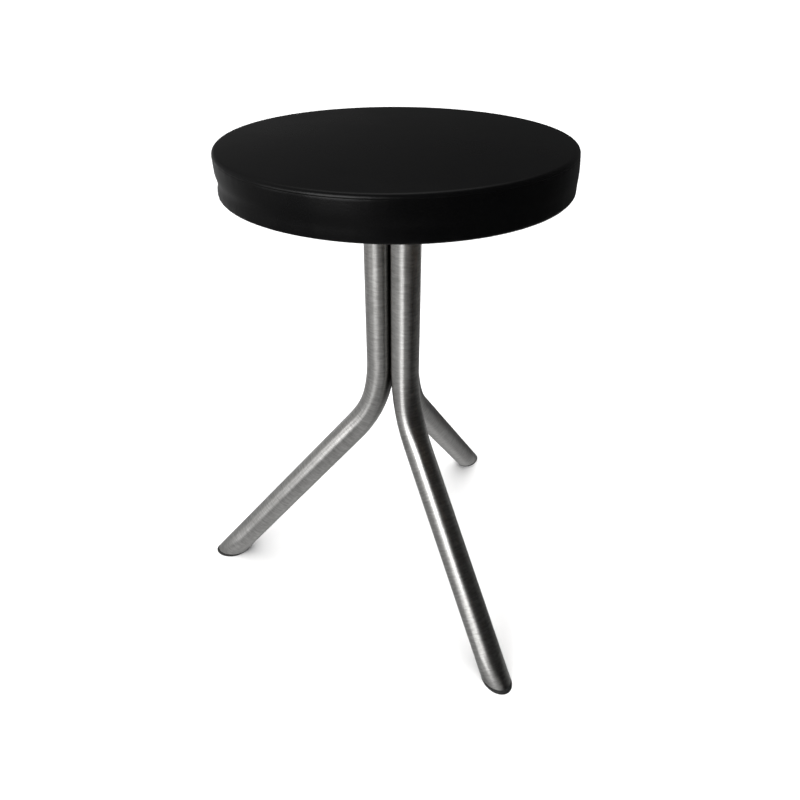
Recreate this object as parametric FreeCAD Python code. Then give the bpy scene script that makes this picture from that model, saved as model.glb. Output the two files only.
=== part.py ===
import FreeCAD, Part

import math
import os

# Bath stool: a round upholstered seat on three bent steel tubes. The tubes stand bundled
# under a round plate that is bolted to the seat board, and splay out to three feet.
# Lengths are in millimetres, angles in degrees, +Z is up and the floor is at Z = 0.

# Whole stool
SEAT_HEIGHT = 485.0          # floor to the middle of the crowned seat
SEAT_DIAMETER = 300.0        # widest, at the rolled upper edge
FOOT_CIRCLE_RADIUS = 204.0   # column axis to the middle of a foot on the floor
LEG_SIDES = ("rear", "left", "front")   # anticlockwise from above, the first half a step from +X

# Leg tubes
TUBE_DIAMETER = 28.0
TUBE_WALL = 1.5
TUBE_GAP = 0.2               # between neighbouring tubes in the bundle
LEG_SPLAY = 40.3             # lean of the lower run from the vertical
BEND_RADIUS = 130.0          # centre line of the bend

# Foot glides, plugged into the slanting tube ends
SOLE_THICKNESS = 3.0
STEM_LENGTH = 30.0           # along the tube, from the floor
STEM_RELIEF = 1.4            # stem surface to the tube bore
RIB_CLEARANCE = 0.1          # rib tip to the tube bore
RIB_LENGTH = 3.0
RIB_PITCH = 5.0
RIB_COUNT = 3

# Mounting plate and its welds
PLATE_DIAMETER = 130.0
PLATE_THICKNESS = 4.0
PLATE_CHAMFER = 0.6
WELD_LEG = 4.0

# Seat fasteners
BOLT_CIRCLE_RADIUS = 46.0
BOLT_DIAMETER = 6.0
BOLT_HOLE_CLEARANCE = 0.6    # on the diameter
BOLT_HEAD_DIAMETER = 10.5
BOLT_HEAD_HEIGHT = 3.3
BOLT_HEAD_FLAT = 6.0         # flat on the domed head, across
BOLT_BEVEL = 0.6             # at the tip
SOCKET_ACROSS_FLATS = 4.0
SOCKET_DEPTH = 2.0
BOLT_END_GAP = 2.5           # bolt tip to the top of the board
WASHER_DIAMETER = 12.5
WASHER_THICKNESS = 1.6
SPRING_WASHER_DIAMETER = 11.8
SPRING_WASHER_THICKNESS = 1.6
SPRING_WASHER_SLIT = 1.2
WASHER_HOLE_CLEARANCE = 0.4  # on the diameter
TEE_FLANGE_DIAMETER = 19.0
TEE_FLANGE_THICKNESS = 1.5
TEE_BARREL_DIAMETER = 8.0
TEE_THREAD_CLEARANCE = 0.1   # on the diameter
TEE_END_GAP = 1.0            # barrel end to the underside of the board
PRONG_COUNT = 4
PRONG_WIDTH = 3.2
PRONG_THICKNESS = 0.8
PRONG_DEPTH = 5.0
PRONG_EDGE_DISTANCE = 0.6    # prong to the rim of the flange

# Seat
BOARD_THICKNESS = 10.0
FOAM_THICKNESS = 27.0        # under the middle of the crown
COVER_THICKNESS = 1.2
CROWN = 3.0                  # rise of the middle over the rolled edge
EDGE_RADIUS = 5.0            # rolled upper edge
SEAM_GROOVE = 0.6
SEAM_ALLOWANCE = 8.0
WAIST = 2.0                  # cover drawn in where the foam meets the board
BOARD_INSET = 1.1            # cover over the board edge, in from the widest
WRAP_DROP = 4.5              # from the waist down to the full board edge
HEM_RADIUS = 3.0             # cover round the lower edge of the board
MARGIN_WIDTH = 28.0          # cover turned in under the board

# Staples through the turned-in margin
STAPLE_COUNT = 30
STAPLE_CROWN = 10.0
STAPLE_LEG = 7.0
STAPLE_WIDTH = 1.2
STAPLE_HEIGHT = 0.7
STAPLE_EDGE_DISTANCE = 10.0  # staple to the inner edge of the margin

# Levels
FOAM_TOP = SEAT_HEIGHT - COVER_THICKNESS
BOARD_TOP = FOAM_TOP - FOAM_THICKNESS
BOARD_BOTTOM = BOARD_TOP - BOARD_THICKNESS
MARGIN_BOTTOM = BOARD_BOTTOM - COVER_THICKNESS
PLATE_BOTTOM = BOARD_BOTTOM - PLATE_THICKNESS
SEAM_LEVEL = SEAT_HEIGHT - CROWN - EDGE_RADIUS

# Bundle and feet
SEAT_RADIUS = SEAT_DIAMETER / 2
TUBE_RADIUS = TUBE_DIAMETER / 2
BORE_RADIUS = TUBE_RADIUS - TUBE_WALL
TUBE_PITCH = TUBE_DIAMETER + TUBE_GAP
HALF_LEG_ANGLE = 180.0 / len(LEG_SIDES)
LEG_ANGLES = {side: (2 * n + 1) * HALF_LEG_ANGLE for n, side in enumerate(LEG_SIDES)}
BUNDLE_RADIUS = TUBE_PITCH / 2 / math.sin(math.radians(HALF_LEG_ANGLE))
SPLAY = math.radians(LEG_SPLAY)
FOOT_REACH = FOOT_CIRCLE_RADIUS + TUBE_RADIUS / math.cos(SPLAY)
MARGIN_EDGE_RADIUS = SEAT_RADIUS - BOARD_INSET - MARGIN_WIDTH

# The origin is under the middle of the box that the stool stands in, so the column axis
# is moved along X by half of what the left foot reaches beyond the seat.
AXIS_X = (max(FOOT_REACH, SEAT_RADIUS) - SEAT_RADIUS) / 2

UP = FreeCAD.Vector(0, 0, 1)
ORIGIN = FreeCAD.Vector(0, 0, 0)
SPACE = 2 * (SEAT_HEIGHT + FOOT_REACH)


def point(r, z):
    """A point of a section, in the plane through the axis."""
    return FreeCAD.Vector(r, 0, z)


def line(start, end):
    return Part.LineSegment(start, end).toShape()


def arc(centre, start, end):
    """The shorter arc about a centre, from start to end."""
    radius = (start - centre).Length
    middle = (start - centre) + (end - centre)
    return Part.Arc(start, centre + middle.normalize() * radius, end).toShape()


def revolved(edges, axis_point=ORIGIN, turn=360.0):
    """The solid that a closed section sweeps about a vertical axis."""
    face = Part.Face(Part.Wire(edges))
    solid = face.revolve(axis_point, UP, turn)
    return solid if solid.Volume > 0 else solid.reversed()


def polygon(points):
    return [line(a, b) for a, b in zip(points, points[1:] + points[:1])]


def turned(shape, angle):
    copy = shape.copy()
    copy.rotate(ORIGIN, UP, angle)
    return copy


def slab(bottom, top):
    """Everything between two levels."""
    return Part.makeBox(SPACE, SPACE, top - bottom, FreeCAD.Vector(-SPACE / 2, -SPACE / 2, bottom))


def disc(radius, bottom, top):
    return Part.makeCylinder(radius, top - bottom, point(0, bottom))


def on_circle(centre, radius, level):
    """The outer point of a section circle at a level."""
    return point(centre.x + math.sqrt(radius ** 2 - (level - centre.z) ** 2), level)


def circles_meet(centre_a, radius_a, centre_b, radius_b):
    """The outer crossing of two section circles."""
    apart = centre_b - centre_a
    along = (apart.Length ** 2 + radius_a ** 2 - radius_b ** 2) / (2 * apart.Length)
    aside = math.sqrt(radius_a ** 2 - along ** 2)
    unit = apart * (1 / apart.Length)
    square = point(unit.z, -unit.x)
    crossings = [centre_a + unit * along + square * (side * aside) for side in (1, -1)]
    return max(crossings, key=lambda p: p.x)


# Leg tubes and glides, each made in the plane of its leg with the foot towards +X


def leg_line():
    """The tube's centre line, run on below the floor so that its end can be cut level."""
    bend_end_x = BUNDLE_RADIUS + BEND_RADIUS * (1 - math.cos(SPLAY))
    bend_end_z = (FOOT_CIRCLE_RADIUS - bend_end_x) / math.tan(SPLAY)
    bend_centre = point(BUNDLE_RADIUS + BEND_RADIUS, bend_end_z + BEND_RADIUS * math.sin(SPLAY))
    bend_start = point(BUNDLE_RADIUS, bend_centre.z)
    bend_end = point(bend_end_x, bend_end_z)
    foot_end = point(FOOT_CIRCLE_RADIUS, 0) + leg_direction() * TUBE_DIAMETER
    return Part.Wire([
        line(point(BUNDLE_RADIUS, PLATE_BOTTOM), bend_start),
        arc(bend_centre, bend_start, bend_end),
        line(bend_end, foot_end),
    ])


def leg_direction():
    """Down the lower run of a leg."""
    return point(math.sin(SPLAY), -math.cos(SPLAY))


def swept_rod(radius):
    """A solid rod along a leg's centre line."""
    circle = Part.Circle(point(BUNDLE_RADIUS, PLATE_BOTTOM), UP, radius).toShape()
    return leg_line().makePipeShell([Part.Wire(circle)], True, False)


def leg_tube():
    tube = swept_rod(TUBE_RADIUS).cut(swept_rod(BORE_RADIUS))
    return tube.common(slab(SOLE_THICKNESS, PLATE_BOTTOM))


def foot_glide():
    """A level sole under the tube's end, with a ribbed stem that grips the bore."""
    foot = point(FOOT_CIRCLE_RADIUS, 0)
    up_leg = leg_direction() * -1
    below = foot - up_leg * TUBE_DIAMETER
    outer = Part.makeCylinder(TUBE_RADIUS, 2 * TUBE_DIAMETER, below, up_leg)
    sole = outer.common(slab(0, SOLE_THICKNESS))
    stem_radius = BORE_RADIUS - STEM_RELIEF
    stem = Part.makeCylinder(stem_radius, TUBE_DIAMETER + STEM_LENGTH, below, up_leg)
    for rib in range(RIB_COUNT):
        rib_end = STEM_LENGTH - rib * RIB_PITCH
        rib_start = foot + up_leg * (rib_end - RIB_LENGTH)
        rib_tip = BORE_RADIUS - RIB_CLEARANCE
        stem = stem.fuse(Part.makeCone(rib_tip, stem_radius, RIB_LENGTH, rib_start, up_leg))
    return sole.fuse(stem.common(slab(SOLE_THICKNESS / 2, SEAT_HEIGHT))).removeSplitter()


# Plate and welds


def bolt_places():
    """Bolt centres, one in each gap between two legs."""
    angles = [math.radians(leg + HALF_LEG_ANGLE) for leg in LEG_ANGLES.values()]
    return [FreeCAD.Vector(math.cos(a), math.sin(a), 0) * BOLT_CIRCLE_RADIUS for a in angles]


def mounting_plate():
    plate = disc(PLATE_DIAMETER / 2, PLATE_BOTTOM, BOARD_BOTTOM)
    rim = [edge for edge in plate.Edges if isinstance(edge.Curve, Part.Circle)]
    plate = plate.makeChamfer(PLATE_CHAMFER, rim)
    hole_radius = (BOLT_DIAMETER + BOLT_HOLE_CLEARANCE) / 2
    for place in bolt_places():
        plate = plate.cut(Part.makeCylinder(hole_radius, PLATE_THICKNESS, place + point(0, PLATE_BOTTOM)))
    return plate


def plate_weld():
    """A hollow-faced fillet between the plate and one tube, round the side that faces out of the bundle."""
    corner = point(BUNDLE_RADIUS + TUBE_RADIUS, PLATE_BOTTOM)
    on_plate = corner + point(WELD_LEG, 0)
    on_tube = corner - point(0, WELD_LEG)
    face_centre = corner + point(2 * WELD_LEG, -2 * WELD_LEG)
    section = [line(corner, on_plate), arc(face_centre, on_plate, on_tube), line(on_tube, corner)]
    to_neighbour = 90.0 + HALF_LEG_ANGLE
    reach = to_neighbour - math.degrees(math.acos(TUBE_PITCH / 2 / (TUBE_RADIUS + WELD_LEG)))
    axis_point = point(BUNDLE_RADIUS, 0)
    weld = revolved(section, axis_point, 2 * reach)
    weld.rotate(axis_point, UP, -reach)
    return weld


# Seat fasteners, each made about the Z axis


def seat_bolt():
    """A button-head bolt pointing up, its head under the washers and a hexagon socket in the head."""
    seat = PLATE_BOTTOM - WASHER_THICKNESS - SPRING_WASHER_THICKNESS
    bottom = seat - BOLT_HEAD_HEIGHT
    tip = BOARD_TOP - BOLT_END_GAP
    rim = point(BOLT_HEAD_DIAMETER / 2, seat)
    flat = point(BOLT_HEAD_FLAT / 2, bottom)
    dome_rise = (rim.x ** 2 - flat.x ** 2) / (2 * BOLT_HEAD_HEIGHT)
    dome_centre = point(0, dome_rise + (seat + bottom) / 2)
    shank = point(BOLT_DIAMETER / 2, seat)
    shank_end = point(shank.x, tip - BOLT_BEVEL)
    tip_edge = point(shank.x - BOLT_BEVEL, tip)
    bolt = revolved([
        line(point(0, bottom), flat),
        arc(dome_centre, flat, rim),
        line(rim, shank),
        line(shank, shank_end),
        line(shank_end, tip_edge),
        line(tip_edge, point(0, tip)),
        line(point(0, tip), point(0, bottom)),
    ])
    corner = SOCKET_ACROSS_FLATS / math.sqrt(3)
    angles = [math.radians(60 * n) for n in range(6)]
    hexagon = [FreeCAD.Vector(corner * math.cos(a), corner * math.sin(a), bottom) for a in angles]
    socket = Part.Face(Part.Wire(polygon(hexagon))).extrude(UP * SOCKET_DEPTH)
    return bolt.cut(socket)


def ring(outer_diameter, inner_diameter, bottom, thickness):
    whole = disc(outer_diameter / 2, bottom, bottom + thickness)
    return whole.cut(disc(inner_diameter / 2, bottom, bottom + thickness))


def flat_washer():
    hole = BOLT_DIAMETER + WASHER_HOLE_CLEARANCE
    return ring(WASHER_DIAMETER, hole, PLATE_BOTTOM - WASHER_THICKNESS, WASHER_THICKNESS)


def spring_washer():
    """A split ring between the flat washer and the bolt head."""
    hole = BOLT_DIAMETER + WASHER_HOLE_CLEARANCE
    bottom = PLATE_BOTTOM - WASHER_THICKNESS - SPRING_WASHER_THICKNESS
    whole = ring(SPRING_WASHER_DIAMETER, hole, bottom, SPRING_WASHER_THICKNESS)
    slit = Part.makeBox(SPRING_WASHER_DIAMETER, SPRING_WASHER_SLIT, SPRING_WASHER_THICKNESS)
    slit.translate(FreeCAD.Vector(0, -SPRING_WASHER_SLIT / 2, bottom))
    return whole.cut(slit)


def tee_nut():
    """A pronged nut let into the board from above, flush with its top."""
    flange_bottom = BOARD_TOP - TEE_FLANGE_THICKNESS
    flange_radius = TEE_FLANGE_DIAMETER / 2
    nut = disc(flange_radius, flange_bottom, BOARD_TOP)
    nut = nut.fuse(disc(TEE_BARREL_DIAMETER / 2, BOARD_BOTTOM + TEE_END_GAP, BOARD_TOP))
    prong_inner = flange_radius - PRONG_EDGE_DISTANCE - PRONG_THICKNESS
    prong = Part.Face(Part.Wire(polygon([
        FreeCAD.Vector(prong_inner, -PRONG_WIDTH / 2, flange_bottom),
        FreeCAD.Vector(prong_inner, PRONG_WIDTH / 2, flange_bottom),
        FreeCAD.Vector(prong_inner, 0, flange_bottom - PRONG_DEPTH),
    ]))).extrude(FreeCAD.Vector(PRONG_THICKNESS, 0, 0))
    for n in range(PRONG_COUNT):
        nut = nut.fuse(turned(prong, n * 360.0 / PRONG_COUNT))
    thread = (BOLT_DIAMETER + TEE_THREAD_CLEARANCE) / 2
    return nut.cut(disc(thread, BOARD_BOTTOM, BOARD_TOP)).removeSplitter()


def at_bolts(piece):
    """A copy of a fastener piece at every bolt."""
    copies = []
    for place in bolt_places():
        copy = turned(piece, math.degrees(math.atan2(place.y, place.x)))
        copy.translate(place)
        copies.append(copy)
    return Part.makeCompound(copies)


# Seat: every piece is a revolved section between offsets of the cover's outer face

EDGE_CENTRE = point(SEAT_RADIUS - EDGE_RADIUS, SEAM_LEVEL)
CROWN_RADIUS = EDGE_RADIUS + (EDGE_CENTRE.x ** 2 + CROWN ** 2) / (2 * CROWN)
CROWN_CENTRE = point(0, SEAT_HEIGHT - CROWN_RADIUS)
SIDE_RADIUS = (WAIST ** 2 + (SEAM_LEVEL - BOARD_TOP) ** 2) / (2 * WAIST)
SIDE_CENTRE = point(SEAT_RADIUS - SIDE_RADIUS, SEAM_LEVEL)
WRAP_STEP = WAIST - BOARD_INSET
WRAP_RADIUS = (WRAP_STEP ** 2 + WRAP_DROP ** 2) / (2 * WRAP_STEP)
WRAP_CENTRE = point(SEAT_RADIUS - BOARD_INSET - WRAP_RADIUS, BOARD_TOP - WRAP_DROP)
HEM_CENTRE = point(SEAT_RADIUS - BOARD_INSET - HEM_RADIUS, MARGIN_BOTTOM + HEM_RADIUS)
ALLOWANCE_LEVEL = SEAM_LEVEL - SEAM_ALLOWANCE
BAND_FOLD = 2 * COVER_THICKNESS    # inner face of the band's allowance, in from the outer face
PANEL_FOLD = 3 * COVER_THICKNESS   # inner face of the panel's allowance


def crown_middle(inset):
    return point(0, SEAT_HEIGHT - inset)


def crown_end(inset):
    """Where the crown runs into the rolled edge."""
    outward = (EDGE_CENTRE - CROWN_CENTRE).normalize()
    return CROWN_CENTRE + outward * (CROWN_RADIUS - inset)


def on_edge(inset, level):
    return on_circle(EDGE_CENTRE, EDGE_RADIUS - inset, level)


def on_side(inset, level):
    return on_circle(SIDE_CENTRE, SIDE_RADIUS - inset, level)


def waist(inset):
    return circles_meet(SIDE_CENTRE, SIDE_RADIUS - inset, WRAP_CENTRE, WRAP_RADIUS - inset)


def board_edge(inset):
    """Top and bottom of the straight stretch down the board's edge."""
    r = SEAT_RADIUS - BOARD_INSET - inset
    return point(r, WRAP_CENTRE.z), point(r, HEM_CENTRE.z)


def hem_end(inset):
    return point(HEM_CENTRE.x, MARGIN_BOTTOM + inset)


def crown_edges(inset, end):
    """Down the crown from its middle and round the rolled edge to a point."""
    tangent = crown_end(inset)
    return [arc(CROWN_CENTRE, crown_middle(inset), tangent), arc(EDGE_CENTRE, tangent, end)]


def lower_edges(inset):
    """From the waist down the board's edge and round the hem."""
    edge_top, edge_bottom = board_edge(inset)
    return [
        arc(WRAP_CENTRE, waist(inset), edge_top),
        line(edge_top, edge_bottom),
        arc(HEM_CENTRE, edge_bottom, hem_end(inset)),
    ]


def seam_bulk():
    """Inner corners of the folded seam: over the seam and at it."""
    inner = SEAT_RADIUS - PANEL_FOLD
    return point(inner, SEAM_LEVEL + COVER_THICKNESS), point(inner, SEAM_LEVEL)


def cover_top_panel():
    """The round top of the cover, rolled over the edge, its allowance turned down inside the band."""
    c = COVER_THICKNESS
    lip = on_edge(0, SEAM_LEVEL + SEAM_GROOVE)
    seam = point(SEAT_RADIUS - SEAM_GROOVE, SEAM_LEVEL)
    bulk_top, bulk_seam = seam_bulk()
    inner_end = on_edge(c, SEAM_LEVEL + c)
    return revolved([
        *crown_edges(0, lip),
        line(lip, seam),
        line(seam, on_side(BAND_FOLD, SEAM_LEVEL)),
        arc(SIDE_CENTRE, on_side(BAND_FOLD, SEAM_LEVEL), on_side(BAND_FOLD, ALLOWANCE_LEVEL)),
        line(on_side(BAND_FOLD, ALLOWANCE_LEVEL), on_side(PANEL_FOLD, ALLOWANCE_LEVEL)),
        arc(SIDE_CENTRE, on_side(PANEL_FOLD, ALLOWANCE_LEVEL), bulk_seam),
        line(bulk_seam, bulk_top),
        line(bulk_top, inner_end),
        *reversed(crown_edges(c, inner_end)),
        line(crown_middle(c), crown_middle(0)),
    ])


def cover_side_band(staples):
    """The band round the seat, doubled by its seam allowance and turned in under the board."""
    c = COVER_THICKNESS
    lip = on_side(0, SEAM_LEVEL - SEAM_GROOVE)
    seam = point(SEAT_RADIUS - SEAM_GROOVE, SEAM_LEVEL)
    margin_outer = point(MARGIN_EDGE_RADIUS, MARGIN_BOTTOM)
    margin_inner = point(MARGIN_EDGE_RADIUS, BOARD_BOTTOM)
    band = revolved([
        line(seam, lip),
        arc(SIDE_CENTRE, lip, waist(0)),
        *lower_edges(0),
        line(hem_end(0), margin_outer),
        line(margin_outer, margin_inner),
        line(margin_inner, hem_end(c)),
        *reversed(lower_edges(c)),
        arc(SIDE_CENTRE, waist(c), on_side(c, ALLOWANCE_LEVEL)),
        line(on_side(c, ALLOWANCE_LEVEL), on_side(BAND_FOLD, ALLOWANCE_LEVEL)),
        arc(SIDE_CENTRE, on_side(BAND_FOLD, ALLOWANCE_LEVEL), on_side(BAND_FOLD, SEAM_LEVEL)),
        line(on_side(BAND_FOLD, SEAM_LEVEL), seam),
    ])
    return band.cut(staples)


def foam_pad():
    """The crowned foam, glued to the board and relieved for the seam allowances."""
    c = COVER_THICKNESS
    bulk_top, bulk_seam = seam_bulk()
    inner_end = on_edge(c, SEAM_LEVEL + c)
    foot = on_side(c, BOARD_TOP)
    return revolved([
        *crown_edges(c, inner_end),
        line(inner_end, bulk_top),
        line(bulk_top, bulk_seam),
        arc(SIDE_CENTRE, bulk_seam, on_side(PANEL_FOLD, ALLOWANCE_LEVEL)),
        line(on_side(PANEL_FOLD, ALLOWANCE_LEVEL), on_side(c, ALLOWANCE_LEVEL)),
        arc(SIDE_CENTRE, on_side(c, ALLOWANCE_LEVEL), foot),
        line(foot, point(0, BOARD_TOP)),
        line(point(0, BOARD_TOP), crown_middle(c)),
    ])


def seat_board(staples, tee_nuts):
    """The plywood disc, drilled for the bolts and let in for the nuts and staples."""
    c = COVER_THICKNESS
    top_edge = on_side(c, BOARD_TOP)
    board = revolved([
        line(point(0, BOARD_TOP), top_edge),
        arc(SIDE_CENTRE, top_edge, waist(c)),
        *lower_edges(c),
        line(hem_end(c), point(0, BOARD_BOTTOM)),
        line(point(0, BOARD_BOTTOM), point(0, BOARD_TOP)),
    ])
    for place in bolt_places():
        drill = Part.makeCylinder(TEE_BARREL_DIAMETER / 2, BOARD_THICKNESS, place + point(0, BOARD_BOTTOM))
        board = board.cut(drill)
    return board.cut(tee_nuts).cut(staples)


def staple():
    """A staple at the +X side: its crown across the margin, its legs up into the board."""
    r = MARGIN_EDGE_RADIUS + STAPLE_EDGE_DISTANCE
    crown_bottom = MARGIN_BOTTOM - STAPLE_HEIGHT
    corner = FreeCAD.Vector(r - STAPLE_WIDTH / 2, -STAPLE_CROWN / 2, crown_bottom)
    crown = Part.makeBox(STAPLE_WIDTH, STAPLE_CROWN, STAPLE_HEIGHT, corner)
    far = corner + FreeCAD.Vector(0, STAPLE_CROWN - STAPLE_HEIGHT, 0)
    legs = [Part.makeBox(STAPLE_WIDTH, STAPLE_HEIGHT, STAPLE_LEG, start) for start in (corner, far)]
    return crown.fuse(legs).removeSplitter()


def cover_staples():
    pitch = 360.0 / STAPLE_COUNT
    return Part.makeCompound([turned(staple(), (n + 0.5) * pitch) for n in range(STAPLE_COUNT)])


def stool():
    """Every piece by name, about the column axis."""
    pieces = {}
    tube = leg_tube()
    glide = foot_glide()
    for side, angle in LEG_ANGLES.items():
        pieces["leg_tube_" + side] = turned(tube, angle)
        pieces["foot_glide_" + side] = turned(glide, angle)
    weld = plate_weld()
    pieces["mounting_plate"] = mounting_plate()
    pieces["plate_welds"] = Part.makeCompound([turned(weld, angle) for angle in LEG_ANGLES.values()])
    pieces["seat_bolts"] = at_bolts(seat_bolt())
    pieces["flat_washers"] = at_bolts(flat_washer())
    pieces["spring_washers"] = at_bolts(spring_washer())
    pieces["tee_nuts"] = at_bolts(tee_nut())
    pieces["cover_staples"] = cover_staples()
    pieces["seat_board"] = seat_board(pieces["cover_staples"], pieces["tee_nuts"])
    pieces["foam_pad"] = foam_pad()
    pieces["cover_top_panel"] = cover_top_panel()
    pieces["cover_side_band"] = cover_side_band(pieces["cover_staples"])
    return pieces


os.makedirs("parts", exist_ok=True)
for name, shape in stool().items():
    shape.translate(FreeCAD.Vector(AXIS_X, 0, 0))
    shape.exportStep(os.path.join("parts", name + ".step"))
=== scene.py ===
import math
import random

import bpy
import numpy as np
from mathutils import Matrix, Vector, noise


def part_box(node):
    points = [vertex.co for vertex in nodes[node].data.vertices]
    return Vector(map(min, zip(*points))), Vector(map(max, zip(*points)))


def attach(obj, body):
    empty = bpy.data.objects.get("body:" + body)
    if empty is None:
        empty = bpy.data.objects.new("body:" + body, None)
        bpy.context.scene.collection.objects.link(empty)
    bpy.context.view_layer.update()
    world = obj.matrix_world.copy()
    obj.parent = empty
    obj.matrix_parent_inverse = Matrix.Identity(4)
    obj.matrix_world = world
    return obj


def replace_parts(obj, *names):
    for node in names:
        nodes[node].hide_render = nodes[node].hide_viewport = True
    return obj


# Looks of the bath stool: an upholstered seat on three bent satin tubes. Lengths are in metres.

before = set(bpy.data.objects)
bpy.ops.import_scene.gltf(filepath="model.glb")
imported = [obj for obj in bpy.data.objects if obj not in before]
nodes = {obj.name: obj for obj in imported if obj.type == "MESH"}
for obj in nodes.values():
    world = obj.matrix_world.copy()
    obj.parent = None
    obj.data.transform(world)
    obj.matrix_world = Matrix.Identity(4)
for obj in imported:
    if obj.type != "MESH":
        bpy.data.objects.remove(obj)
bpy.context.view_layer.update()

# Places taken from the frame
band_low, band_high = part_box("cover_side_band")
left_low, left_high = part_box("leg_tube_left")
AXIS_X = (band_low.x + band_high.x) / 2
SEAT_RADIUS = (band_high.x - band_low.x) / 2
SEAT_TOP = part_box("cover_top_panel")[1].z
BOARD_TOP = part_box("seat_board")[1].z
MARGIN_BOTTOM = band_low.z
STAPLES_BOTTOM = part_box("cover_staples")[0].z
TUBE_TOP = left_high.z
TUBE_END = left_low.z
TUBE_RADIUS = (left_high.y - left_low.y) / 2
BUNDLE_RADIUS = AXIS_X + TUBE_RADIUS - left_high.x   # from the stool's axis to a tube's

# Sizes of the bent legs
LEG_ANGLES = {"rear": 60.0, "left": 180.0, "front": 300.0}
FOOT_CIRCLE_RADIUS = 0.204
LEG_SPLAY = math.radians(40.3)
BEND_RADIUS = 0.130
BEND_FLATTENING = 0.0019         # of the inner side of the bend, at its most
BEND_BULGE = 0.0005              # of each flank there
BEND_FLATTEST = 0.60             # share of the bend that lies above its flattest place
TUBE_WALL = 0.0015
TUBE_DEBURR = 0.0003
TUBE_SEGMENTS = 72
STRAIGHT_RINGS = 6               # of each straight run
BEND_RINGS = 28

# Marks on the steel, and painted shade where tubes touch. A pair of lengths says how far below the
# plate a mark is gone and is full.
STRAW_TINT = (0.016, 0.009)      # from the weld's heat
BLUE_TINT = (0.010, 0.005)
CREASE_SHADE_LENGTH = (0.24, 0.19)    # painted shade along the lines where two tubes touch
CREASE_SHADE_ANGLE = math.radians(150)
CREASE_SHADE_REACH = (math.radians(50), math.radians(20))
CREASE_SHADE_DARKNESS = 0.92

# Sizes of the welds
WELD_LEG = 0.004
WELD_REACH = math.radians(114)   # each way from the side that faces out of the bundle
WELD_STEPS = 208
WELD_FACE_POINTS = 8
WELD_RIPPLES = 26
WELD_RIPPLE = 0.05               # share of the bead's size
WELD_RIPPLE_LAG = 1.6            # of a ripple's middle behind its ends, in radians
WELD_FACE = 1.5                  # 1 for a round face of the bead, 2 for a flat one
WELD_TAPER = 0.06                # share of the run, at each end, where the bead grows to its size
WELD_END = 0.45                  # share of its size at the very end

# Sizes of the seat cover. It isn't drawn on evenly, so some sizes are given for the left and the
# right, and some as a size, an addition to it, and the angle and reach of that addition in degrees.
COVER_THICKNESS = 0.0012
RIM_RADIUS = (SEAT_RADIUS + 0.0003, SEAT_RADIUS - 0.0010)
SIDE_BULGE = (0.0, 0.0009)
LOWER_TUCK = (0.0009, -0.0005)             # lower edge, in from the rim
CROWN = (0.0030, 0.0031, 240, 60)          # fall of the top from its middle to the rolled edge
EDGE_RADIUS = (0.0038, -0.0004, 240, 60)   # rolled upper edge
WAIST = (0.0003, 0.0014, 180, 38)          # drawn in where the foam meets the board
HEM_RADIUS = (0.0018, 0.0024, 335, 38)     # round the lower edge of the board
WAIST_HALF_HEIGHT = 0.005
SEAM_GROOVE = 0.00018
SEAM_LIP = 0.00008                         # where the leather starts to turn into the seam
SEAM_ALLOWANCE = 0.008
PUCKER = 0.00012                           # beside the seam
PUCKER_COUNT = 110
PUCKER_REACH_UP = 0.003
PUCKER_REACH_DOWN = 0.005
HEM_CREASE = 0.00035                       # over the lower edge
HEM_CREASE_COUNT = 46
HEM_CREASE_REACH = 0.007
BOARD_INSET = 0.0011
MARGIN_WIDTH = 0.028
MARGIN_CUT_RADIUS = SEAT_RADIUS - BOARD_INSET - MARGIN_WIDTH
MARGIN_WAVE = 0.0012                       # of the margin's cut edge
MARGIN_WAVE_COUNT = 34
PLEAT = 0.0016                             # folds of the margin between two staples
PLEAT_SHARE = (0.65, 0.5)                  # mean share of that, and its change from fold to fold
CROWN_RINGS = 30
ROLL_RINGS = 12
SIDE_RINGS = 24
HEM_RINGS = 7
MARGIN_RINGS = 16
INNER_ROLL_RINGS = 6
INNER_SIDE_RINGS = 14
INNER_HEM_RINGS = 4
FOAM_SIDE_RINGS = 4

# Staples
STAPLE_COUNT = 30
STAPLE_PITCH = 2 * math.pi / STAPLE_COUNT
STAPLE_CROWN = 0.010
STAPLE_LEG = 0.007
STAPLE_WIDTH = 0.0012
STAPLE_HEIGHT = 0.0007
STAPLE_CORNER = 0.0009
STAPLE_CORNER_POINTS = 5
STAPLE_SIDES = 8                 # points round the wire
STAPLE_ROUNDNESS = 0.6           # 1 for an oval wire, towards 0 for a square one
STAPLE_FROM_CUT = 0.010          # from the margin's cut edge
STAPLE_CIRCLE_RADIUS = MARGIN_CUT_RADIUS + STAPLE_FROM_CUT
STAPLE_OFF_CIRCLE = 0.0004       # each way
STAPLE_SKEW = 4                  # each way, in degrees

# Cloth simulation of the cover, on a draft that is coarser than the seat
DRAFT_SEGMENTS = 120
FINER = 4                        # segments of the seat for one of the draft
SEAT_SEGMENTS = FINER * DRAFT_SEGMENTS
DRAFT_RINGS = (24, 6, 11, 4, 5)  # of each part of the cover's section
CLOTH_FRAMES = 20
CLOTH_QUALITY = 6
PRESSURE = 4.0
MOST_MOVE = 0.0008
FOAM_HOLD = 0.42                 # how firmly the foam holds the cover, from 0 to 1
FOAM_LUMPS = 0.16                # change of that hold from place to place
LUMPS_PER_METRE = 22
SEAM_HOLD = 0.8
SEAM_HOLD_REACH = 0.08           # in stations down the section

# Camera, fitted to the photograph
CAMERA_LENS = 29.18
CAMERA_SENSOR = 36.0
CAMERA_PLACE = Vector((AXIS_X + 0.0033, -0.5664, 0.6004))
CAMERA_DOWN = math.radians(33.77)
CAMERA_ROLL = math.radians(0.19)

# Floor and light
FLOOR_REACH = 40.0
OVERHEAD_STRENGTH = 3.8
OVERHEAD_SPREAD = math.radians(80)
LIGHT_AIM = 0.35                 # height that the soft lights face
LIGHT_DISTANCE = 1.3
BOUNCE_DISTANCE = 0.84

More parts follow.
